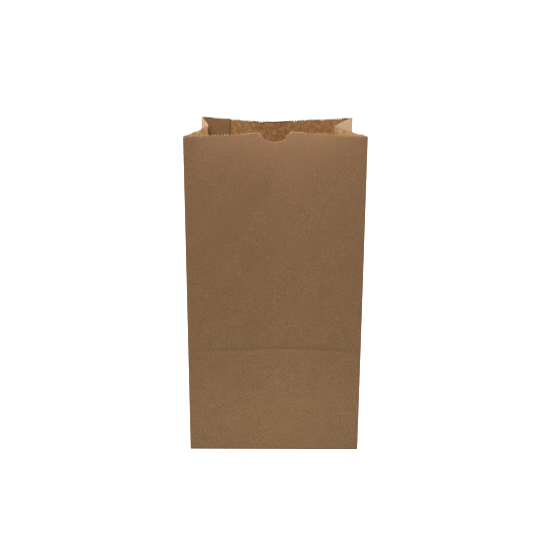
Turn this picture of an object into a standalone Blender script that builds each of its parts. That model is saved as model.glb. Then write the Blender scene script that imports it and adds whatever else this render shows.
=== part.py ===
"""A brown paper lunch bag, standing open: a self-opening sack folded and glued from one sheet of kraft.

The front panel faces -Y and has the thumb notch. The back panel has the lap seam. Between them two
gussets fold inwards. The origin is at the middle of the base, on the surface that the bag stands on.
"""

import math

import bmesh
import bpy
import numpy as np

# Size of the bag, in metres
WIDTH = 0.127
DEPTH = 0.086
HEIGHT = 0.240
SHEET = 0.00012

# Gussets: each half is as wide as half the depth, and the fold between them starts as high as that
GUSSET_HALF = DEPTH / 2
APEX_PUSH_LEFT = 0.0035
APEX_PUSH_RIGHT = 0.0050
MOUTH_PUSH_LEFT = 0.0110
MOUTH_PUSH_RIGHT = 0.0184
MOUTH_SKEW_LEFT = 0.0007
MOUTH_SKEW_RIGHT = -0.0007

# Front and back panels at the mouth: they bow inwards, which brings their corners closer together
FRONT_MOUTH_CHORD = 0.1226
FRONT_MOUTH_CENTRE = 0.0003
FRONT_BOW = 0.0150
FRONT_FLARE_SHARE = 0.35
FRONT_FLARE_POWER = 6
FRONT_BOW_SHARE = 0.42
FRONT_BOW_CENTRE = 0.12
BACK_MOUTH_CHORD = 0.1137
BACK_MOUTH_CENTRE = 0.0015
BACK_BOW = 0.0208
BACK_BOW_SHARE = 0.31
BACK_BOW_CENTRE = -0.13
BACK_BOW_RISE = 1.15
BOW_SPREAD = 0.5

# Creases left across the panels where the bag was folded flat
BACK_CREASE_PUSH = 0.0030
BACK_CREASE_FADE = 0.060
FRONT_CREASE_HEIGHT = 0.0830
FRONT_CREASE_BOW = 0.0045

# Serrated mouth, cut by a toothed knife with a plain stretch in the middle
PANEL_TEETH = 64
GUSSET_TEETH = 22
TOOTH_HEIGHT = 0.0014
PLAIN_DROP = 0.0002
FRONT_PLAIN_HALF = 0.0198
BACK_PLAIN_HALF = 0.0100
MOUTH_STRIP = 0.0040

# Thumb notch in the front panel: slanted sides, then a shallow arc
NOTCH_HALF_TOP = 0.0105
NOTCH_HALF_BOTTOM = 0.0074
NOTCH_SIDE_DROP = 0.0053
NOTCH_DEPTH = 0.0073
NOTCH_ARC_STEPS = 10

# Lap seam on the back panel: places of the two edges of the sheet, measured from the -X corner fold
SEAM_OUTER_EDGE = 0.0030
SEAM_INNER_EDGE = 0.0236
SEAM_STEP = 0.0004

# Bottom: two flaps glued under the floor, the front one over the back one, with ends slanting at 45 degrees
FLOOR_Z = 2 * SHEET
FLAP_INSET = 0.0004
FLAP_LAP = 0.0080

# Grid that the walls are lofted on
PANEL_CELLS = 16
GUSSET_CELLS = 4
UPPER_ROWS = 8
ROW_CROWDING = 1.4

KRAFT_COLOUR = (0.30, 0.175, 0.088, 1.0)
KRAFT_ROUGHNESS = 0.85


def remove_everything():
    for obj in list(bpy.data.objects):
        bpy.data.objects.remove(obj, do_unlink=True)


def new_collection(name):
    found = bpy.data.collections.new(name)
    bpy.context.scene.collection.children.link(found)
    return found


def new_object(name, surface, home):
    """Turns a bmesh into a named object in a collection."""
    mesh = bpy.data.meshes.new(name)
    surface.to_mesh(mesh)
    surface.free()
    obj = bpy.data.objects.new(name, mesh)
    home.objects.link(obj)
    return obj


def kraft_paper():
    """Unbleached kraft: matt, mid brown."""
    material = bpy.data.materials.new("kraft_paper")
    material.use_nodes = True
    shader = material.node_tree.nodes["Principled BSDF"]
    shader.inputs["Base Color"].default_value = KRAFT_COLOUR
    shader.inputs["Roughness"].default_value = KRAFT_ROUGHNESS
    shader.inputs["Metallic"].default_value = 0.0
    return material


def gusset_push(z, apex_push, mouth_push):
    """How far the middle fold of a gusset is pushed in at height z."""
    if z < GUSSET_HALF:
        return apex_push * z / GUSSET_HALF
    climb = (z - GUSSET_HALF) / (HEIGHT - GUSSET_HALF)
    return apex_push + (mouth_push - apex_push) * climb


def corner_half_depth(push):
    """Half the distance from front corner to back corner, when the fold between them is pushed in this far."""
    return math.sqrt(GUSSET_HALF**2 - push**2)


def corners(z):
    """The four corner folds at height z, as plan points: front left, front right, back right, back left."""
    climb = z / HEIGHT
    left = corner_half_depth(gusset_push(z, APEX_PUSH_LEFT, MOUTH_PUSH_LEFT))
    right = corner_half_depth(gusset_push(z, APEX_PUSH_RIGHT, MOUTH_PUSH_RIGHT))
    front = (WIDTH + (FRONT_MOUTH_CHORD - WIDTH) * climb) / 2
    back = (WIDTH + (BACK_MOUTH_CHORD - WIDTH) * climb) / 2
    left_y = MOUTH_SKEW_LEFT * climb
    right_y = MOUTH_SKEW_RIGHT * climb
    front_x = FRONT_MOUTH_CENTRE * climb
    back_x = BACK_MOUTH_CENTRE * climb
    return (
        np.array((front_x - front, left_y - left)),
        np.array((front_x + front, right_y - right)),
        np.array((back_x + back, right_y + right)),
        np.array((back_x - back, left_y + left)),
    )


def bow(across, share, centre):
    """Inward bow of a panel, 0 at its corners and about 1 at most: a flat-topped part and a hump."""
    hump = (1 - across**2) * math.exp(-(((across - centre) / BOW_SPREAD) ** 2))
    return share * (1 - across**4) + (1 - share) * hump


def front_inward(across, z):
    """How far the front panel stands in from the line between its corners. It leans in up to its crease,
    stands steeper above it, and flares in again towards the mouth."""
    if z < FRONT_CREASE_HEIGHT:
        reach = FRONT_CREASE_BOW * z / FRONT_CREASE_HEIGHT
    else:
        climb = (z - FRONT_CREASE_HEIGHT) / (HEIGHT - FRONT_CREASE_HEIGHT)
        flare = FRONT_FLARE_SHARE * climb + (1 - FRONT_FLARE_SHARE) * climb**FRONT_FLARE_POWER
        reach = FRONT_CREASE_BOW + (FRONT_BOW - FRONT_CREASE_BOW) * flare
    return reach * bow(across, FRONT_BOW_SHARE, FRONT_BOW_CENTRE)


def back_inward(across, z):
    """The same for the back panel, whose sharper crease is pinched in and fades out above."""
    bowed = BACK_BOW * (z / HEIGHT) ** BACK_BOW_RISE * bow(across, BACK_BOW_SHARE, BACK_BOW_CENTRE)
    if z < GUSSET_HALF:
        pinch = z / GUSSET_HALF
    else:
        pinch = math.exp(-(z - GUSSET_HALF) / BACK_CREASE_FADE)
    return bowed + BACK_CREASE_PUSH * pinch * (1 - across**4)


def front_point(along, z):
    """A point of the front panel: along is 0 at its left corner and 1 at its right corner."""
    left, right = corners(z)[0:2]
    x, y = left + (right - left) * along
    return x, y + front_inward(2 * along - 1, z), z


def back_point(along, z):
    """A point of the back panel: along is 0 at its right corner and 1 at its left corner. The sheet rises
    by its own thickness towards the seam, where it lies over the tab that comes round the corner."""
    right, left = corners(z)[2:4]
    x, y = right + (left - right) * along
    over_tab = along / (1 - SEAM_OUTER_EDGE / WIDTH)
    rise = SHEET * over_tab if over_tab <= 1 else 0.0
    return x, y - back_inward(1 - 2 * along, z) + rise, z


def gusset_point(start, end, outward, pushes, along, z):
    """A point of a gusset, from one corner fold to the other. Below the apex a triangle stays flat between
    two diagonal creases, and above it the two halves fold in about the middle."""
    from_corner = 1 - abs(2 * along - 1)
    if z < GUSSET_HALF:
        inward = pushes[0] * min(z / GUSSET_HALF, from_corner)
    else:
        inward = gusset_push(z, *pushes) * from_corner
    x, y = start + (end - start) * along
    return x - outward * inward, y, z


def right_point(along, z):
    front_right, back_right = corners(z)[1:3]
    return gusset_point(front_right, back_right, 1, (APEX_PUSH_RIGHT, MOUTH_PUSH_RIGHT), along, z)


def left_point(along, z):
    front_left, back_left = corners(z)[0], corners(z)[3]
    return gusset_point(back_left, front_left, -1, (APEX_PUSH_LEFT, MOUTH_PUSH_LEFT), along, z)


def row_heights():
    """The heights of the wall grid's rows, which crowd together towards the mouth."""
    crease = FRONT_CREASE_HEIGHT
    heights = [FLOOR_Z, GUSSET_HALF / 2, GUSSET_HALF, (GUSSET_HALF + crease) / 2, crease]
    for row in range(1, UPPER_ROWS + 1):
        share = 1 - (1 - row / UPPER_ROWS) ** ROW_CROWDING
        heights.append(crease + (HEIGHT - MOUTH_STRIP - crease) * share)
    return heights


def wall_columns():
    """The columns of the wall grid in order round the bag. Each is the wall's point function, the share of
    the way along that wall, and how many teeth the cell after it has."""
    panel = [cell / PANEL_CELLS for cell in range(PANEL_CELLS)]
    gusset = [cell / GUSSET_CELLS for cell in range(GUSSET_CELLS)]
    panel_teeth = PANEL_TEETH // PANEL_CELLS
    gusset_teeth = 2 * GUSSET_TEETH // GUSSET_CELLS
    columns = [(front_point, along, panel_teeth) for along in panel]
    columns += [(right_point, along, gusset_teeth) for along in gusset]
    columns += back_columns(panel, panel_teeth)
    columns += [(left_point, along, gusset_teeth) for along in gusset]
    return columns


def back_columns(panel, teeth):
    """The back panel's columns, with a pair of close ones at each edge of the seam."""
    inner = 1 - SEAM_INNER_EDGE / WIDTH
    outer = 1 - SEAM_OUTER_EDGE / WIDTH
    step = SEAM_STEP / WIDTH
    seam = (inner, inner + step, outer - step / 2, outer + step / 2)
    plain = [along for along in panel if min(abs(along - edge) for edge in seam) > step]
    places = sorted(plain + list(seam))
    ends = places[1:] + [1.0]
    columns = []
    for start, end in zip(places, ends):
        columns.append((back_point, start, round((end - start) * PANEL_TEETH)))
    return columns


def is_double(wall, along):
    """True where the back panel is two sheets thick."""
    inner = 1 - SEAM_INNER_EDGE / WIDTH
    outer = 1 - SEAM_OUTER_EDGE / WIDTH
    return wall is back_point and inner < along < outer


def tooth_drop(wall, along, step):
    """How far the cut edge lies below the tips of the teeth, at a point that is a tip or a valley."""
    from_middle = abs(along - 0.5) * WIDTH
    if wall is front_point and from_middle < FRONT_PLAIN_HALF:
        return PLAIN_DROP
    if wall is back_point and from_middle < BACK_PLAIN_HALF:
        return PLAIN_DROP
    return TOOTH_HEIGHT if step % 2 else 0.0


class Sheet:
    """The sheet as an open surface, and the vertices where it lies double."""

    def __init__(self):
        self.mesh = bmesh.new()
        self.columns = wall_columns()
        self.double = []

    def vertex(self, wall, along, z):
        made = self.mesh.verts.new(wall(along, z))
        if is_double(wall, along):
            self.double.append(made)
        return made

    def add_walls(self):
        """Lofts the walls through the rows and closes them with the floor."""
        rows = []
        for z in row_heights():
            rows.append([self.vertex(wall, along, z) for wall, along, teeth in self.columns])
        for low, high in zip(rows, rows[1:]):
            for here in range(len(low)):
                after = (here + 1) % len(low)
                self.mesh.faces.new((low[here], low[after], high[after], high[here]))
        self.mesh.faces.new(reversed(rows[0]))
        self.add_mouth(rows[-1])

    def add_mouth(self, row):
        """Adds the strip along the mouth, one face to a cell, with the cell's teeth along its top."""
        tops = []
        for here, (wall, along, teeth) in enumerate(self.columns):
            next_wall, next_along = self.columns[(here + 1) % len(row)][0:2]
            end = next_along if next_wall is wall else 1.0
            steps = max(1, 2 * teeth)
            top = []
            for step in range(steps):
                place = along + (end - along) * step / steps
                top.append(self.vertex(wall, place, HEIGHT - tooth_drop(wall, place, step)))
            tops.append(top)
        for here in range(len(row)):
            after = (here + 1) % len(row)
            top = tops[here] + tops[after][0:1]
            self.mesh.faces.new([row[here], row[after]] + top[::-1])

    def finish(self, home):
        """Triangulates, so that both sides of the sheet get the same facets, and marks the double part."""
        bmesh.ops.triangulate(self.mesh, faces=self.mesh.faces[:])
        self.mesh.verts.index_update()
        indices = [made.index for made in self.double]
        obj = new_object("paper_bag", self.mesh, home)
        obj.vertex_groups.new(name="double").add(indices, 1.0, "REPLACE")
        return obj


def prism(outline, depth):
    """A closed body: a flat outline, anticlockwise seen from the end of the depth vector, pulled along it."""
    surface = bmesh.new()
    start = surface.faces.new([surface.verts.new(point) for point in outline])
    pulled = bmesh.ops.extrude_face_region(surface, geom=[start])
    moved = [item for item in pulled["geom"] if isinstance(item, bmesh.types.BMVert)]
    bmesh.ops.translate(surface, verts=moved, vec=depth)
    bmesh.ops.recalc_face_normals(surface, faces=surface.faces[:])
    return surface


def notch_cutter(home):
    """The thumb notch's outline in the XZ plane, from above the mouth, pulled through the front panel."""
    arc_sag = NOTCH_DEPTH - NOTCH_SIDE_DROP
    radius = (NOTCH_HALF_BOTTOM**2 + arc_sag**2) / (2 * arc_sag)
    half_angle = math.asin(NOTCH_HALF_BOTTOM / radius)
    slope = (NOTCH_HALF_TOP - NOTCH_HALF_BOTTOM) / NOTCH_SIDE_DROP
    above = NOTCH_SIDE_DROP
    middle = FRONT_MOUTH_CENTRE
    edge = HEIGHT - PLAIN_DROP
    outline = [(middle + NOTCH_HALF_TOP + slope * above, -DEPTH, edge + above)]
    outline.append((middle - NOTCH_HALF_TOP - slope * above, -DEPTH, edge + above))
    for step in range(NOTCH_ARC_STEPS + 1):
        angle = half_angle * (2 * step / NOTCH_ARC_STEPS - 1)
        x = middle + radius * math.sin(angle)
        z = edge - NOTCH_DEPTH + radius * (1 - math.cos(angle))
        outline.append((x, -DEPTH, z))
    return new_object("notch_cutter", prism(outline, (0, DEPTH, 0)), home)


def flap(name, side, reach, bottom, home):
    """A bottom flap: a trapezoid from the base edge on the given side of Y to past the middle, sunk into
    the floor above it by half a sheet so that the two join."""
    half_wide = WIDTH / 2 - FLAP_INSET
    base = DEPTH / 2 - FLAP_INSET
    half_narrow = half_wide - (base + reach)
    outline = [
        (-half_wide, side * base, bottom),
        (half_wide, side * base, bottom),
        (half_narrow, -side * reach, bottom),
        (-half_narrow, -side * reach, bottom),
    ]
    return new_object(name, prism(outline, (0, 0, FLOOR_Z + SHEET / 2 - bottom)), home)


def add_boolean(obj, name, operation, other):
    modifier = obj.modifiers.new(name, "BOOLEAN")
    modifier.operation = operation
    modifier.solver = "EXACT"
    modifier.object = other
    other.hide_render = True
    other.display_type = "WIRE"


remove_everything()
bag_parts = new_collection("brown_paper_lunch_bag")
tool_shapes = new_collection("tool_shapes")

sheet = Sheet()
sheet.add_walls()
bag = sheet.finish(bag_parts)
bag.data.materials.append(kraft_paper())

thickness = bag.modifiers.new("sheet_thickness", "SOLIDIFY")
thickness.thickness = 2 * SHEET
thickness.offset = -1
thickness.use_even_offset = True
thickness.vertex_group = "double"
thickness.thickness_vertex_group = 0.5

add_boolean(bag, "back_flap", "UNION", flap("back_flap", 1, FLAP_LAP, SHEET, tool_shapes))
add_boolean(bag, "front_flap", "UNION", flap("front_flap", -1, FLAP_LAP, 0.0, tool_shapes))
add_boolean(bag, "thumb_notch", "DIFFERENCE", notch_cutter(tool_shapes))
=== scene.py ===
"""A brown paper lunch bag, standing open on a pale studio floor, at the place and size of its CAD model."""

import math

import bpy
import numpy as np
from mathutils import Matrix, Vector


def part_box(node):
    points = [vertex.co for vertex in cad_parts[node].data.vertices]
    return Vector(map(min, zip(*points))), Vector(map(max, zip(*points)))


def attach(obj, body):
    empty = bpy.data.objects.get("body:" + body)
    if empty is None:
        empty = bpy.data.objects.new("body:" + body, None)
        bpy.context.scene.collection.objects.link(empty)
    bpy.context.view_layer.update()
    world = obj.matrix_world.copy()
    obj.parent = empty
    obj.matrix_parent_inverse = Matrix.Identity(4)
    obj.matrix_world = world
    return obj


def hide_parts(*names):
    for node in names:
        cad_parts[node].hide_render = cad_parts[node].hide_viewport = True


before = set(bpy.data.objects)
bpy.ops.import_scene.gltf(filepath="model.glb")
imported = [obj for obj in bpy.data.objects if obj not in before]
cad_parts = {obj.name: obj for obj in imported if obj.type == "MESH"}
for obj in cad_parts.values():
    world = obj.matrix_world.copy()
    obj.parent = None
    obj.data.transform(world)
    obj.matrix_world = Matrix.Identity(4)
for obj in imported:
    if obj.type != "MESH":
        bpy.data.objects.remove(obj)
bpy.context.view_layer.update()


# The tube. One web of unbleached kraft paper, about 0.12 mm thick, is folded round into a tube with a
# gusset in each side and pasted along a lap seam on the back panel. A toothed knife cuts its mouth, and a
# punch takes the thumb notch out of the front panel.

low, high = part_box("paper_bag")
base_spread = 0.0006
width = high[0] - low[0] + base_spread
depth = -2 * low[1]
height = high[2]
gusset = depth / 2
caliper = 0.00012

# The opened shape, for the left (-1) and right (1) side: how far the gusset's middle fold is pushed in at
# the mouth and at the top of the gusset's foot, and how far the corner folds are out of square at the mouth.
mouth_push = {-1: 0.0110, 1: 0.0184}
apex_push = {-1: 0.0035, 1: 0.0050}
mouth_skew = {-1: 0.0007, 1: -0.0007}

# For the front (-1) and back (1) panel: its width from corner to corner at the mouth, and how far its middle
# has moved to the right there.
panel_chord = {-1: 0.1226, 1: 0.1146}
panel_shift = {-1: 0.0003, 1: 0.0017}


def fold_in(side, z):
    """How far a gusset's middle fold is pushed in: in proportion to the height up to the top of the
    gusset's foot, then from there in a straight line to its depth at the mouth."""
    climb = (z - gusset) / (height - gusset)
    foot = apex_push[side] * z / gusset
    return np.where(z < gusset, foot, apex_push[side] + (mouth_push[side] - apex_push[side]) * climb)


def corner_fold(side, face, z):
    """The plan point of a corner fold. side is -1 left or 1 right, and face is -1 front or 1 back. Across
    the bag the folds close in evenly with height. In depth, a fold and the gusset's middle fold stay half
    the bag's depth apart, so the fold stands at the root of that squared less the push squared."""
    share = z / height
    x = share * panel_shift[face] + side * (width + (panel_chord[face] - width) * share) / 2
    y = share * mouth_skew[side] + face * np.sqrt(gusset**2 - fold_in(side, z) ** 2)
    return x, y


hump_centre = {-1: 0.12, 1: -0.13}
hump_width = 0.5


def bowed(across, share, face):
    """The bow of a panel from -1 to 1 across it: a share of one less the fourth power, and for the rest
    a hump, which is a bell curve round its centre times one less the square."""
    hump = (1 - across**2) * np.exp(-(((across - hump_centre[face]) / hump_width) ** 2))
    return share * (1 - across**4) + (1 - share) * hump


front_crease = 0.0830
lean_below_crease = 0.0045
lean_above_crease = 0.0047
lean_share = 0.16
mouth_flare = 0.0058
flare_power = 10
flare_share = 0.76
crease_depth = 0.00016
foot_crease_depth = 0.00004
crease_reach = 0.0013


def front_inward(across, z):
    """How far the front stands in from the line between its corners. It leans in a straight line up to its
    crease and another from there on, mostly in the hump of the bow, and near the mouth it flares in by a
    tenth power of the climb, more evenly across. The crease and the weaker one below it are narrow
    bell-shaped grooves."""
    climb = np.clip((z - front_crease) / (height - front_crease), 0, 1)
    lean = lean_below_crease * np.minimum(z / front_crease, 1) + lean_above_crease * climb
    flare = mouth_flare * climb**flare_power
    groove = crease_depth * np.exp(-(((z - front_crease) / crease_reach) ** 2))
    groove = groove + foot_crease_depth * np.exp(-(((z - gusset) / crease_reach) ** 2))
    bow = lean * bowed(across, lean_share, -1) + flare * bowed(across, flare_share, -1)
    return bow + groove * (1 - across**4)


back_bow = 0.0208
back_bow_power = 1.15
back_bow_share = 0.31
back_crease_depth = 0.0030
back_crease_fade = 0.060


def back_inward(across, z):
    """The same for the back: a power of the height times the bow, and a sharp crease, which grows in a
    straight line up to the gussets' apexes and fades above them."""
    pinch = np.where(z < gusset, z / gusset, np.exp(-np.maximum(z - gusset, 0) / back_crease_fade))
    bow = back_bow * (z / height) ** back_bow_power * bowed(across, back_bow_share, 1)
    return bow + back_crease_depth * pinch * (1 - across**4)


def panel(face, along, z):
    """A point of the front (-1) or back (1) panel: on the line between its corner folds, moved in."""
    left_x, left_y = corner_fold(-1, face, z)
    right_x, right_y = corner_fold(1, face, z)
    inward = front_inward(2 * along - 1, z) if face < 0 else back_inward(2 * along - 1, z)
    return left_x + (right_x - left_x) * along, left_y + (right_y - left_y) * along - face * inward


def gusset_wall(side, along, z):
    """A point of a gusset, from its front fold to its back fold. It stands in from the line between them
    by the middle fold's push times the nearness to that fold, and in the foot by the lesser of the height
    and that nearness, which leaves a flat triangle between two creases at 45 degrees."""
    near = 1 - np.abs(2 * along - 1)
    front_x, front_y = corner_fold(side, -1, z)
    back_x, back_y = corner_fold(side, 1, z)
    foot = apex_push[side] * np.minimum(z / gusset, near)
    inward = np.where(z < gusset, foot, fold_in(side, z) * near)
    return front_x + (back_x - front_x) * along - side * inward, front_y + (back_y - front_y) * along


# The flat web: the tab, the left gusset, the front, the right gusset and the back, which ends a little
# short of the corner where the tab begins.
tab = 0.0254
lap_edge = 0.0030
tab_lift = 0.00025
tab_lift_reach = 0.0012
folds = np.cumsum([0, gusset, gusset, width, gusset, gusset])
corners = folds[[0, 2, 3, 5]]
web_end = folds[5] + width - lap_edge
front_middle = (folds[2] + folds[3]) / 2
back_middle = folds[5] + width / 2


def wall_number(u):
    """Which wall a place on the web belongs to: 0 tab, 1 left gusset, 2 front, 3 right gusset, 4 back."""
    return np.searchsorted(corners, u, side="right")


def web_point(u, z):
    """The place of the web at u metres round the bag and height z. u is 0 at the back left corner, where
    the tab is pasted on, and runs on round the left gusset, the front, the right gusset and the back. The
    back lies over the tab, and the tab's own edge lifts a little off it."""
    walls = [
        panel(1, -u / width, z),
        gusset_wall(-1, 1 - u / depth, z),
        panel(-1, (u - folds[2]) / width, z),
        gusset_wall(1, (u - folds[3]) / depth, z),
        panel(1, 1 - (u - folds[5]) / width, z),
    ]
    wall = wall_number(u)
    over_tab = caliper * 1.2 * np.clip((u - folds[5]) / (width - tab), 0, 1)
    lifted_tab = tab_lift * np.exp(-np.maximum(u + tab, 0) / tab_lift_reach) * (z / height) ** 2
    x = np.choose(wall, [place[0] for place in walls])
    y = np.choose(wall, [place[1] for place in walls]) + over_tab - lifted_tab
    return np.stack([x, y, z], axis=-1)


fold_radius = 0.0002
relaxed_radius = 0.0006


def softened(u, z):
    """The web with folds of a real radius: the sharp form averaged over a short stretch of paper, which
    is wider near the mouth, where the folds relax."""
    reach = fold_radius + (relaxed_radius - fold_radius) * (z / height) ** 3
    taps = np.linspace(-1, 1, 9)
    weights = 1 - np.abs(taps) * 0.9
    place = sum(web_point(u + tap * reach, z) * weight for tap, weight in zip(taps, weights))
    return place / weights.sum()


def relief(u, z, waves, longest, seed):
    """A gentle uneven relief of about -1 to 1: sine waves over the flat web added up, each with its own
    direction, phase and length, which runs down from the longest to a third of it."""
    rng = np.random.default_rng(seed)
    angle, phase, share = rng.uniform(0, 2 * math.pi, (3, waves))
    number = 2 * math.pi / (longest * np.linspace(1, 1 / 3, waves))
    total = np.zeros(np.broadcast(u, z).shape)
    for turn, start, pace, weight in zip(angle, phase, number, 0.6 + 0.4 * np.sin(share)):
        total += weight * np.sin(pace * (u * np.cos(turn) + z * np.sin(turn)) + start)
    return total / math.sqrt(waves)


# The knife's cut. Its teeth are a little over 2 mm apart and deepest on the back, and the middles of both
# panels are cut plain.
panel_teeth = 58
gusset_teeth = 40
tooth_height = 0.0015
tooth_unevenness = 0.35
back_bite = 1.25
front_plain = 0.0003
front_plain_reach = 0.0188
front_plain_fade = 0.0025
back_plain = 0.0008
back_plain_reach = 0.0085
back_plain_fade = 0.0040
plain_waver = 0.00008
ragged_depth = 0.00016

# The thumb notch: half its width at the top and at the foot of its slanted sides, how deep those sides go,
# how far the arc between them sags, and how far the notch stands off the panel's middle.
notch_top = 0.0109
notch_bottom = 0.0074
notch_side = 0.0046
notch_sag = 0.0019
notch_shift = -0.0003


def to_nearest_corner(u):
    """The distance along the web to the nearest corner fold."""
    return np.min([np.abs(u - corner) for corner in corners], axis=0)


def tooth(u, span, teeth):
    """How far a toothed cut lies below its tips, u metres along a span of so many teeth: a triangle wave,
    a little deeper in some places than in others."""
    turn = u / span * teeth
    uneven = 1 + tooth_unevenness * relief(u, 0.0, 9, 0.013, 21)
    return tooth_height * (1 - np.abs(2 * (turn - np.floor(turn)) - 1)) * uneven


def mouth_cut(u):
    """How far the mouth's edge lies below full height: first without its teeth, then with them. The
    middles of both panels are plain, and the notch's slanted sides end in a shallow arc, whose radius
    follows from its half width and its sag."""
    wall = wall_number(u)
    on_back = np.abs(u - back_middle) < width / 2
    from_notch = np.abs(u - front_middle - notch_shift)
    from_back = np.abs(u - back_middle)
    along = u - np.choose(wall, [0.0, *corners])
    teeth = np.where(wall % 2 == 0, tooth(along, width, panel_teeth), tooth(along, depth, gusset_teeth))
    teeth = teeth * np.where(on_back, back_bite, 1)
    toothed = np.clip((from_notch - front_plain_reach) / front_plain_fade, 0, 1)
    toothed = toothed * np.clip((from_back - back_plain_reach) / back_plain_fade, 0, 1)
    plain = np.where(on_back, back_plain, front_plain) + plain_waver * relief(u, 0.0, 7, 0.016, 22)
    radius = (notch_bottom**2 + notch_sag**2) / (2 * notch_sag)
    arc = notch_side + notch_sag - radius + np.sqrt(radius**2 - np.minimum(from_notch, notch_bottom) ** 2)
    side = notch_side * np.clip((notch_top - from_notch) / (notch_top - notch_bottom), 0, 1)
    notch = np.where(from_notch < notch_bottom, arc, side)
    ragged = ragged_depth * (1 + relief(u, 0.0, 9, 0.016, 23)) * np.clip(to_nearest_corner(u) / 0.003, 0, 1)
    outline = (1 - toothed) * plain + toothed * ragged + notch
    return outline, outline + toothed * teeth


def spaced(*runs):
    """Sorted places along one direction of the grid, from several runs of them. A place nearer to the one
    before it than the paper is thick is left out."""
    places = np.sort(np.concatenate([np.atleast_1d(run) for run in runs]))
    return places[np.concatenate([[True], np.diff(places) > caliper])]


# The grid's places round the web: every tip and root of the teeth, and more beside the folds, along the
# tab's edge and round the notch.
panel_half_teeth = width * np.linspace(0, 1, 2 * panel_teeth + 1)
gusset_half_teeth = depth * np.linspace(0, 1, 2 * gusset_teeth + 1)
fold_sides = np.array([-0.0011, -0.0006, -0.00025, 0.00025, 0.0006, 0.0011])
across_web = spaced(
    -tab + np.array([0, 0.0004, 0.0008, 0.0012, 0.0018]),
    -panel_half_teeth[panel_half_teeth < tab - 0.0006],
    gusset_half_teeth,
    folds[2] + panel_half_teeth,
    folds[3] + gusset_half_teeth,
    folds[5] + panel_half_teeth[panel_half_teeth < width - lap_edge - 0.0003],
    [web_end],
    *[fold + fold_sides for fold in folds],
    front_middle + np.linspace(-notch_top, notch_top, 37),
)

# Its places up the web: close together at the base, the creases and the mouth.
base_radius = 0.0005
mouth_strip = 0.0180
crease_sides = np.array([-0.0014, -0.0006, 0.0006, 0.0014])
up_web = spaced(
    [base_radius, 0.0012],
    gusset * np.linspace(0, 1, 23)[1:],
    gusset + crease_sides,
    np.linspace(gusset, front_crease, 11),
    front_crease + crease_sides,
    np.linspace(front_crease, height - mouth_strip, 34),
    height - mouth_strip * np.array([0.87, 0.74, 0.61, 0.48, 0.36, 0.25, 0.16, 0.09, 0.04, 0]),
)

# The relief: soft sags and small cockles, which the folds and the base hold flat near them, and the curl
# of the teeth.
sag_depth = 0.00020
cockle_depth = 0.00005
fold_hold = 0.012
base_hold = 0.025
gusset_curl = 0.00006
panel_curl = 0.00020
curl_reach = 0.0025

# The paste and painted shade: the tab is painted darker and greyer, as painted shade where two plies let less
# light through; real paste shows in a strip near the web's other edge; and a painted shadow line runs along
# the tab's edge.
tab_painted_shade = 0.9
strip_paste = 0.30
paste_strip = (web_end - 0.017, web_end - 0.003)
tab_edge_painted_shadow = 0.42
tab_edge_painted_shadow_place = -tab + 0.0005
tab_edge_painted_shadow_width = 0.0006

# The band along the cut, on the outside a fringe of torn fibres with a painted highlight, on the inside
# painted
# shade: how far its line has moved from the smooth outline to the toothed one, and how much narrower it is on
# the gussets, where the cut is plain, and along the web's two side edges.
edge_band_share = 0.7
gusset_edge_band_inset = 0.0005
plain_edge_band_inset = 0.00026
lap_edge_band_inset = 0.00035
tab_edge_band_inset = 0.0010


def band(place, start, end):
    """1 between start and end, and 0 outside, with a smooth step of about 1 mm at both."""
    return 1 / (1 + np.exp((start - place) / 0.0003)) / (1 + np.exp((place - end) / 0.0003))


def bag_tube():
    """The tube's points, and its places and distances on the flat web. Heights near the mouth are squeezed
    down to the cut edge. Each point is moved along the surface's normal by the relief, which dies away at
    the folds and the base, and at the mouth by a finer one, which curls the teeth."""
    u, z = np.meshgrid(across_web, up_web)
    strip = height - mouth_strip
    outline, cut = mouth_cut(u)
    z = np.where(z > strip, strip + (z - strip) * (height - cut - strip) / mouth_strip, z)
    place = softened(u, z)
    step = 0.0004
    along = softened(u + step, z) - softened(u - step, z)
    up = softened(u, z + step) - softened(u, z - step)
    normal = np.cross(along, up)
    normal /= np.linalg.norm(normal, axis=-1, keepdims=True)

    # The tab and the back that covers it take the same relief, so that neither shows through the other.
    round_bag = np.where(u < 0, u + folds[5] + width, u)
    to_fold = np.min([np.abs(u - fold) for fold in (*folds, folds[5] + width)], axis=0)
    loose = np.clip(to_fold / fold_hold, 0, 1) * np.clip(z / base_hold, 0, 1)
    bump = sag_depth * relief(round_bag, z, 12, 0.075, 3) * (0.4 + z / height)
    bump = loose * (bump + cockle_depth * relief(round_bag, z, 14, 0.022, 5))
    on_gusset = wall_number(u) % 2 == 1
    curl = np.where(on_gusset, gusset_curl, panel_curl) * np.exp(-(height - cut - z) / curl_reach)
    bump = bump + curl * relief(round_bag, 0.0, 11, 0.009, 8) * np.clip(to_fold / 0.003, 0, 1)

    plain_cut = cut - outline < 1e-5
    from_mouth = height - (1 - edge_band_share) * outline - edge_band_share * cut - z
    from_mouth = from_mouth + np.where(on_gusset, gusset_edge_band_inset, plain_edge_band_inset * plain_cut)
    from_sides = np.minimum(web_end - u + lap_edge_band_inset, u + tab + tab_edge_band_inset)
    foot_crease = (z - to_nearest_corner(u)) / math.sqrt(2)
    on_front = np.abs(u - front_middle) < width / 2
    panel_crease = np.where(on_front, np.abs(z - front_crease), np.abs(z - gusset))
    paste_and_shade = np.where(u < 0, tab_painted_shade, strip_paste * band(u, *paste_strip))
    # A painted shadow line along the tab's edge.
    paste_and_shade = paste_and_shade + tab_edge_painted_shadow * np.exp(-(((u - tab_edge_painted_shadow_place) / tab_edge_painted_shadow_width) ** 2))
    return place + normal * bump[..., None], {
        "u": u,
        "v": z,
        "cut": np.minimum(from_mouth, from_sides),
        "paste_and_shade": paste_and_shade,
        "fold": np.minimum(to_nearest_corner(u), z),
        "crease": np.where(on_gusset, foot_crease, panel_crease),
    }


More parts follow.
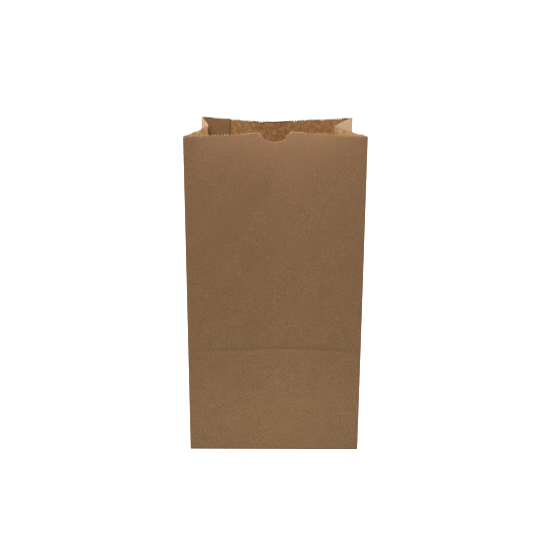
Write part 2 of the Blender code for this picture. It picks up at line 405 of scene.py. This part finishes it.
def grid_mesh(name, points, plan):
    """A mesh from a grid of points, with a quad in each cell, linked as an object. plan holds named grids
    of numbers, or one number for the whole grid: u and v become its UV map, in metres of flat paper, and
    the others attributes."""
    rows, columns = points.shape[:2]
    index = np.arange(rows * columns).reshape(rows, columns)
    quads = np.stack([index[:-1, :-1], index[:-1, 1:], index[1:, 1:], index[1:, :-1]], axis=-1).reshape(-1, 4)
    mesh = bpy.data.meshes.new(name)
    mesh.vertices.add(rows * columns)
    mesh.vertices.foreach_set("co", points.reshape(-1))
    mesh.loops.add(quads.size)
    mesh.loops.foreach_set("vertex_index", quads.reshape(-1))
    mesh.polygons.add(len(quads))
    mesh.polygons.foreach_set("loop_start", np.arange(0, quads.size, 4))
    mesh.update(calc_edges=True)
    flat = np.stack([plan["u"], plan["v"]], axis=-1).reshape(-1, 2)
    mesh.uv_layers.new(name="paper").data.foreach_set("uv", flat[quads.reshape(-1)].reshape(-1))
    for key in ("cut", "fold", "crease", "paste_and_shade"):
        values = np.broadcast_to(plan[key], (rows, columns)).reshape(-1)
        mesh.attributes.new(key, "FLOAT", "POINT").data.foreach_set("value", values)
    mesh.shade_smooth()
    made = bpy.data.objects.new(name, mesh)
    bpy.context.scene.collection.objects.link(made)
    return made


def linear(colour):
    """An sRGB hex colour as linear red, green, blue and alpha."""
    channels = [int(colour[place : place + 2], 16) / 255 for place in (1, 3, 5)]
    return (*[c / 12.92 if c <= 0.04045 else ((c + 0.055) / 1.055) ** 2.4 for c in channels], 1.0)


def add(tree, kind, settings=None, inputs=None):
    """Adds a shader node. Settings are its properties, and inputs its sockets, by name or number, each
    with a value or another node's output."""
    made = tree.nodes.new("ShaderNode" + kind)
    for name, value in (settings or {}).items():
        setattr(made, name, value)
    for name, value in (inputs or {}).items():
        if isinstance(value, bpy.types.NodeSocket):
            tree.links.new(value, made.inputs[name])
        else:
            made.inputs[name].default_value = value
    return made


speckle_size = 0.0017
fibre_width = 0.0007
fibre_stretch = 5
tinge_size = 0.024
bark_size, bark_spread = 0.0004, 0.0090
bundle_size, bundle_spread = 0.0005, 0.0080
felt_depth = 0.00004


def kraft(name, colours, contrast, cloudiness, floc, painted_mouth_glow, roughness, edge_band_strength, edge_band_reach):
    """Unbleached kraft paper: softwood fibres, pressed and dried on a machine. It gives the eye a matt
    brown, with soft clouds a floc wide where the fibres have flocked together, a tinge that comes and goes, a
    painted warm glow towards the mouth, a few pale and dark flecks of fibre bundles and bark, scuffed folds,
    painted shade along the creases, and a band along a knife cut: outside a fringe of torn fibres with a
    painted highlight, inside painted shade. Fibres are 0.03 mm thick, too fine to show, so they are drawn
    coarser: as streaks 0.7 mm wide and a speckle under 2 mm across."""
    material = bpy.data.materials.new(name)
    material.use_nodes = True
    tree = material.node_tree
    shader = tree.nodes["Principled BSDF"]
    plane = {"noise_dimensions": "2D"}
    rgb = {"data_type": "RGBA"}
    web = add(tree, "UVMap", {"uv_map": "paper"}).outputs["UV"]

    # The tone: clouds, speckle and fibres, which run up the bag with the machine.
    drawn = add(tree, "Mapping", inputs={0: web, "Scale": (1, 0.95, 1)}).outputs[0]
    clouds = add(tree, "TexNoise", plane, {"Vector": drawn, "Scale": 1 / floc, "Detail": 2.0}).outputs[0]
    grain = {"Vector": drawn, "Scale": 1 / speckle_size, "Detail": 3.0, "Roughness": 0.75}
    speckle = add(tree, "TexNoise", plane, grain).outputs[0]
    hair = {0: web, "Rotation": (0, 0, 0.05), "Scale": (1, 1 / fibre_stretch, 1)}
    hair = {"Vector": add(tree, "Mapping", inputs=hair).outputs[0], "Scale": 1 / fibre_width, "Detail": 2.0}
    fibres = add(tree, "TexNoise", plane, hair).outputs[0]
    multiply_add = {"operation": "MULTIPLY_ADD"}
    tone = add(tree, "Math", {"operation": "MULTIPLY"}, {0: clouds, 1: cloudiness}).outputs[0]
    tone = add(tree, "Math", multiply_add, {0: speckle, 1: 0.88 - cloudiness, 2: tone}).outputs[0]
    tone = add(tree, "Math", multiply_add, {0: fibres, 1: 0.12, 2: tone}).outputs[0]
    ramp = add(tree, "ValToRGB", inputs={0: tone})
    ramp.color_ramp.elements[0].position = 0.5 - 0.5 / contrast
    ramp.color_ramp.elements[0].color = linear(colours["dark"])
    ramp.color_ramp.elements[1].position = 0.5 + 0.5 / contrast
    ramp.color_ramp.elements[1].color = linear(colours["light"])

    # The tinge: broad patches of the paper's own tone, and a painted warm glow that grows up the bag towards
    # the mouth, where light shines through the paper.
    tinge_and_glow = add(tree, "TexNoise", plane, {"Vector": web, "Scale": 1 / tinge_size, "Detail": 1.0}).outputs[0]
    tinge_and_glow = add(tree, "MapRange", inputs={0: tinge_and_glow, 1: 0.40, 2: 0.60, 3: 0.0, 4: 0.25}).outputs[0]
    up = add(tree, "SeparateXYZ", inputs={0: web}).outputs["Y"]
    painted_glow_up_bag = add(tree, "MapRange", inputs={0: up, 1: 0.08, 2: 0.24, 3: 0.0, 4: painted_mouth_glow}).outputs[0]
    tinge_and_glow = add(tree, "Math", {"operation": "ADD"}, {0: tinge_and_glow, 1: painted_glow_up_bag}).outputs[0]
    colour = add(tree, "Mix", rgb, {0: tinge_and_glow, 6: ramp.outputs[0], 7: linear(colours["tinge_and_glow"])}).outputs[2]

    # Flecks, at the cells of a loose pattern. Most cells stay bare.
    flecks = (("bark_and_shade", bark_size, bark_spread, 0.004), ("bundle", bundle_size, bundle_spread, 0.0))
    for fleck, size, spread, place in flecks:
        laid = {0: drawn, "Location": (place, place, 0), "Rotation": (0, 0, 0.3)}
        cells = {"Vector": add(tree, "Mapping", inputs=laid).outputs[0], "Scale": 1 / spread}
        cells = add(tree, "TexVoronoi", {"voronoi_dimensions": "2D"}, cells)
        chance = add(tree, "SeparateColor", inputs={0: cells.outputs["Color"]}).outputs[0]
        radius = {0: chance, 1: 0.7, 2: 1.0, 3: 0.0, 4: size / spread}
        radius = add(tree, "MapRange", inputs=radius).outputs[0]
        inner = {0: radius, 1: cells.outputs["Distance"]}
        inner = add(tree, "Math", {"operation": "SUBTRACT"}, inner).outputs[0]
        mark = add(tree, "MapRange", inputs={0: inner, 1: 0.0, 2: 0.03, 3: 0.0, 4: 0.3}).outputs[0]
        colour = add(tree, "Mix", rgb, {0: mark, 6: colour, 7: linear(colours[fleck])}).outputs[2]

    # Up to 1: dried paste under the paper, and on the tab painted shade where two plies let less light
    # through.
    # Above 1: a painted shadow line along the tab's edge.
    paste_and_shade = add(tree, "Attribute", {"attribute_name": "paste_and_shade"}).outputs["Fac"]
    paste_and_shade_mix = add(tree, "Math", {"operation": "MULTIPLY"}, {0: paste_and_shade, 1: 0.8}).outputs[0]
    colour = add(tree, "Mix", rgb, {0: paste_and_shade_mix, 6: colour, 7: linear(colours["paste_and_shade"])}).outputs[2]
    # The painted shadow line along the tab's edge.
    tab_edge_shadow_mix = add(tree, "MapRange", inputs={0: paste_and_shade, 1: 1.0, 2: 2.0, 3: 0.0, 4: 0.6}).outputs[0]
    colour = add(tree, "Mix", rgb, {0: tab_edge_shadow_mix, 6: colour, 7: linear(colours["bark_and_shade"])}).outputs[2]

    # Painted shade: dark along the creases. Wear: pale where the folds are scuffed.
    crease = add(tree, "Attribute", {"attribute_name": "crease"}).outputs["Fac"]
    crease = add(tree, "Math", {"operation": "ABSOLUTE"}, {0: crease}).outputs[0]
    crease = add(tree, "MapRange", inputs={0: crease, 1: 0.0, 2: 0.0020, 3: 0.27, 4: 0.0}).outputs[0]
    crease = add(tree, "Math", {"operation": "MULTIPLY"}, {0: crease, 1: clouds}).outputs[0]
    colour = add(tree, "Mix", rgb, {0: crease, 6: colour, 7: linear(colours["bark_and_shade"])}).outputs[2]
    fold = add(tree, "Attribute", {"attribute_name": "fold"}).outputs["Fac"]
    scuff = add(tree, "MapRange", inputs={0: fold, 1: 0.0001, 2: 0.0008, 3: 0.40, 4: 0.0}).outputs[0]
    scuff = add(tree, "Math", {"operation": "MULTIPLY"}, {0: scuff, 1: fibres}).outputs[0]
    colour = add(tree, "Mix", rgb, {0: scuff, 6: colour, 7: linear(colours["bundle"])}).outputs[2]

    # The band along a cut, longer and shorter with the speckle: on the outside a pale fringe of torn fibres
    # with a painted highlight, on the inside painted shade.
    cut = add(tree, "Attribute", {"attribute_name": "cut"}).outputs["Fac"]
    edge_band_width = {0: speckle, 1: 0.35, 2: 0.65, 3: 0.6 * edge_band_reach, 4: 1.4 * edge_band_reach}
    edge_band_width = add(tree, "MapRange", inputs=edge_band_width).outputs[0]
    # Painted shade along the cut on the inside, a fringe with a painted highlight on the outside.
    fringe_and_painted_light = add(tree, "MapRange", inputs={0: cut, 1: 0.0002, 2: edge_band_width, 3: edge_band_strength, 4: 0.0}).outputs[0]
    colour = add(tree, "Mix", rgb, {0: fringe_and_painted_light, 6: colour, 7: linear(colours["fringe_and_painted_light"])}).outputs[2]
    tree.links.new(colour, shader.inputs["Base Color"])

    rough = {0: speckle, 1: 0.3, 2: 0.7, 3: roughness - 0.05, 4: roughness + 0.05}
    tree.links.new(add(tree, "MapRange", inputs=rough).outputs[0], shader.inputs["Roughness"])
    felt = add(tree, "Math", multiply_add, {0: fibres, 1: 0.5, 2: speckle}).outputs[0]
    bump = add(tree, "Bump", inputs={"Strength": 1.0, "Distance": felt_depth, "Height": felt})
    tree.links.new(bump.outputs[0], shader.inputs["Normal"])
    shader.inputs["IOR"].default_value = 1.5
    shader.inputs["Specular IOR Level"].default_value = 0.35
    return material


# The outside was dried against the machine's smooth drum, so it is even and a little greyer, with a pale
# fringe where the knife went through, made paler by a painted highlight along the lit cut edge.
outside_colours = {
    "dark": "#876443",
    "light": "#A7825B",
    "tinge_and_glow": "#9A7050",
    "bark_and_shade": "#5E4129",
    "bundle": "#C29C6E",
    # The band along the cut: pale torn fibres, made paler still as a painted highlight.
    "fringe_and_painted_light": "#D6B588",
    "paste_and_shade": "#8A6949",
}
outside = kraft(
    "kraft_outside",
    outside_colours,
    contrast=2.6,
    cloudiness=0.16,
    floc=0.007,
    # A painted warm glow towards the mouth, where light shines through the paper.
    painted_mouth_glow=0.38,
    roughness=0.66,
    edge_band_strength=0.55,
    edge_band_reach=0.0007,
)

# The inside dried free, so it is rougher, cloudier and more orange; part of that orange, cloudy look is a
# painted glow of light shining through the paper. Along the knife cut it is painted dark, as painted shade.
inside_colours = {
    "dark": "#8B613B",
    "light": "#D3A067",
    "tinge_and_glow": "#B7834C",
    "bark_and_shade": "#5E3D22",
    "bundle": "#CFA36C",
    # The band along the cut is painted near black here: painted shade.
    "fringe_and_painted_light": "#2E1C0F",
    # This colour also paints the tab's inside darker, as painted shade.
    "paste_and_shade": "#8F6E4D",
}
inside = kraft(
    "kraft_inside",
    inside_colours,
    contrast=2.8,
    cloudiness=0.45,
    floc=0.0032,
    painted_mouth_glow=0.0,
    roughness=0.74,
    edge_band_strength=0.9,
    edge_band_reach=0.0018,
)

# The paper's own thickness, bared by the knife: torn fibre ends, which look paler than its skin. They are
# drawn 0.8 mm long, because the real ones are too fine to show.
cut_edge = bpy.data.materials.new("kraft_cut_edge")
cut_edge.use_nodes = True
edge_tree = cut_edge.node_tree
edge_place = add(edge_tree, "TexCoord").outputs["Object"]
edge_fibres = add(edge_tree, "TexNoise", inputs={"Vector": edge_place, "Scale": 1 / 0.0008}).outputs[0]
edge_ramp = add(edge_tree, "ValToRGB", inputs={0: edge_fibres})
edge_ramp.color_ramp.elements[0].position = 0.35
edge_ramp.color_ramp.elements[0].color = linear("#B4905F")
edge_ramp.color_ramp.elements[1].position = 0.65
edge_ramp.color_ramp.elements[1].color = linear("#E2C79E")
edge_shader = edge_tree.nodes["Principled BSDF"]
edge_tree.links.new(edge_ramp.outputs[0], edge_shader.inputs["Base Color"])
edge_shader.inputs["Roughness"].default_value = 0.9


def finish_paper(piece):
    """Gives a surface the paper's thickness and its finishes, and says what it stands for."""
    for material in (outside, inside, cut_edge):
        piece.data.materials.append(material)
    skin = piece.modifiers.new("caliper", "SOLIDIFY")
    skin.thickness = caliper
    skin.offset = 0
    skin.material_offset = 1
    skin.material_offset_rim = 2
    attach(piece, "root")
    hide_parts("paper_bag")


finish_paper(grid_mesh("bag_tube", *bag_tube()))


# The bottom's long flaps. The front and back panels run on under the bag and fold in over each other,
# with their ends folded back at 45 degrees. The front one is pasted on last, so it is the lowest.

flap_lap = 0.0080
flap_strip = 0.0040
tuck_radius = 0.00009
bottom_lift = 0.0007
strip_rows = np.array([0.0, 0.12, 0.25, 0.4, 0.6, 0.8, 1.0])
flap_ends = np.linspace(1, 2, 6)[1:]
flap_columns = np.concatenate([-flap_ends[::-1], np.linspace(-1, 1, 105), flap_ends])


def turned_in(w, level):
    """The fold at the base, w metres along the paper from a wall's foot: how far in and how high it lies.
    A quarter turn brings it down to its level, and from there it runs flat."""
    radius = base_radius - level
    angle = np.minimum(w / radius, math.pi / 2)
    flat = np.maximum(w - radius * math.pi / 2, 0)
    return radius * (1 - np.cos(angle)) + flat, level + radius * (1 - np.sin(angle))


def domed(x, y):
    """How far the bottom lifts off the ground between its edges: one less the square in both directions,
    and a gentle relief."""
    middle = np.clip(1 - (2 * x / width) ** 2, 0, 1) * np.clip(1 - (y / gusset) ** 2, 0, 1)
    return bottom_lift * middle * (1 + 0.35 * relief(x, y, 9, 0.060, 12))


def flap_lengths(level):
    """Places along a flap's paper, close together round the base fold and at the cut edge."""
    turn = (base_radius - level) * math.pi / 2
    end = gusset + flap_lap - (base_radius - level) + turn
    flat = np.linspace(turn, end - flap_strip, 22)[1:]
    return spaced(turn * strip_rows, flat, end - flap_strip * (1 - strip_rows))


def toothed_end(w, teeth):
    """Draws the paper back to its toothed edge, from nothing at the start of the last strip to all of the
    tooth's depth at the edge."""
    return w - teeth * np.clip((w - w.max() + flap_strip) / flap_strip, 0, 1)


def long_flap(face, level):
    """The front (-1) or back (1) flap. Across runs from -1 to 1 between its slanting ends, which stand in
    from the corners as far as the paper has come in. Beyond that it makes the half turn of the folded end.
    The rows run from the cut edge to the wall, and the columns so that the faces point down."""
    across, w = np.meshgrid(-face * flap_columns, flap_lengths(level)[::-1])
    edge_width = width / 2 - gusset - flap_lap
    w = toothed_end(w, tooth(edge_width * across + width / 2, width, panel_teeth))
    inset, z = turned_in(w, level)
    angle = math.pi * np.maximum(np.abs(across) - 1, 0)
    out = tuck_radius * np.sin(angle) / math.sqrt(2)
    x = np.clip(across, -1, 1) * (width / 2 - inset) + np.sign(across) * out
    y = face * (gusset - inset - out)
    z = z + tuck_radius * (1 - np.cos(angle)) * np.clip(w / 0.002, 0, 1) + domed(x, y)
    end_edge = (1 - np.clip(np.abs(across), 0, 1)) * (width / 2 - inset) / math.sqrt(2)
    return np.stack([x, y, z], axis=-1), {
        "u": front_middle + x if face < 0 else back_middle - x,
        "v": -w,
        "cut": w.max(axis=0) - w,
        "fold": np.minimum(w, end_edge),
        "crease": 0.01,
        "paste_and_shade": 0.35 * band(w, 0.030, 0.047) * band(across, -0.85, 0.85),
    }


for face, name, level in ((-1, "front_flap", 0.5 * caliper), (1, "back_flap", 1.5 * caliper)):
    finish_paper(grid_mesh(name, *long_flap(face, level)))


# The bottom's end flaps. The gussets run on under the bag too and fold in first, so they lie on top inside
# and show only as triangles from below.

end_flap_gap = 0.0003


def end_flap(side, level):
    """The left (-1) or right (1) end flap: as wide as the bag is deep, and flat from its base fold on."""
    across, w = np.meshgrid(np.linspace(-1, 1, 2 * gusset_teeth + 1), flap_lengths(level))
    w = toothed_end(w, tooth((across + 1) * gusset, depth, gusset_teeth))
    inset, z = turned_in(w, level)
    x = side * (width / 2 - inset)
    y = -side * across * (gusset - end_flap_gap)
    return np.stack([x, y, z + domed(x, y)], axis=-1), {
        "u": gusset - y if side < 0 else folds[3] + gusset + y,
        "v": -w,
        "cut": w.max(axis=0) - w,
        "fold": w,
        "crease": np.abs(y),
        "paste_and_shade": 0.0,
    }


for side, name in ((-1, "left_end_flap"), (1, "right_end_flap")):
    finish_paper(grid_mesh(name, *end_flap(side, 2.5 * caliper)))


# The studio. The bag stands on a wide sweep of matt white paper, in a white room. Two softboxes light its
# sides from behind, two more its front from above, and a small card low in front lifts the front's foot.

sweep_reach = 40.0
sweep_corners = [(x * sweep_reach, y * sweep_reach, 0) for x, y in ((-1, -1), (1, -1), (1, 1), (-1, 1))]
sweep_mesh = bpy.data.meshes.new("studio_floor")
sweep_mesh.from_pydata(sweep_corners, [], [(0, 1, 2, 3)])
sweep = bpy.data.objects.new("studio_floor", sweep_mesh)
bpy.context.scene.collection.objects.link(sweep)
sweep.visible_diffuse = False
sweep.visible_glossy = False

# The sweep is lit so evenly that it reads as white: a little light of its own stands for that.
white_sweep = bpy.data.materials.new("white_background_paper")
white_sweep.use_nodes = True
sweep_shader = white_sweep.node_tree.nodes["Principled BSDF"]
sweep_shader.inputs["Base Color"].default_value = linear("#E8E8E8")
sweep_shader.inputs["Roughness"].default_value = 0.9
sweep_shader.inputs["Emission Color"].default_value = linear("#FFFFFF")
sweep_shader.inputs["Emission Strength"].default_value = 0.84
sweep_mesh.materials.append(white_sweep)

room_light = 0.19
world = bpy.data.worlds.new("studio_room")
bpy.context.scene.world = world
world.use_nodes = True
room = world.node_tree
seen = add(room, "LightPath").outputs["Is Camera Ray"]
strength = add(room, "MapRange", inputs={0: seen, 1: 0.0, 2: 1.0, 3: room_light, 4: 1.0}).outputs[0]
room.links.new(strength, room.nodes["Background"].inputs["Strength"])
room.nodes["Background"].inputs["Color"].default_value = linear("#FFFFFF")


def softbox(name, place, size, power, colour="#FFFFFF", aim=0.16):
    """A flat light of a width and height in metres and a power in watts. It looks from its place at the
    middle of the bag, at the height aim."""
    lamp = bpy.data.lights.new(name, "AREA")
    lamp.shape = "RECTANGLE"
    lamp.size, lamp.size_y = size
    lamp.energy = power
    lamp.color = linear(colour)[:3]
    made = bpy.data.objects.new(name, lamp)
    bpy.context.scene.collection.objects.link(made)
    made.location = place
    made.rotation_euler = (Vector(place) - Vector((0, 0, aim))).to_track_quat("Z", "Y").to_euler()
    made.visible_camera = False


softbox("left_softbox", (-1.05, 0.50, 0.34), (0.8, 0.8), 21.6, "#F9FFF8")
softbox("right_softbox", (1.05, 0.50, 0.34), (0.8, 0.8), 18.5, "#FDFFF2")
softbox("front_left_softbox", (-0.68, -0.75, 1.7), (0.7, 0.7), 23.0)
softbox("front_right_softbox", (0.68, -0.75, 1.7), (0.7, 0.7), 17.0)
softbox("bounce_card", (0, -0.105, 0.02), (0.22, 0.03), 0.0165, "#EEFFF0", aim=0.03)


# The camera. It stands in front of the bag, a little above its mouth, and looks down at it.

lens = bpy.data.cameras.new("camera")
lens.sensor_width = 36
lens.lens = 51.86
camera = bpy.data.objects.new("camera", lens)
bpy.context.scene.collection.objects.link(camera)
camera_pitch = 20.125
camera_turn = 0.343
camera.location = (-0.0026, -0.5459, 0.3331)
camera.rotation_euler = (math.radians(90 - camera_pitch), 0, math.radians(camera_turn))
bpy.context.scene.camera = camera
bpy.context.scene.view_settings.view_transform = "Standard"
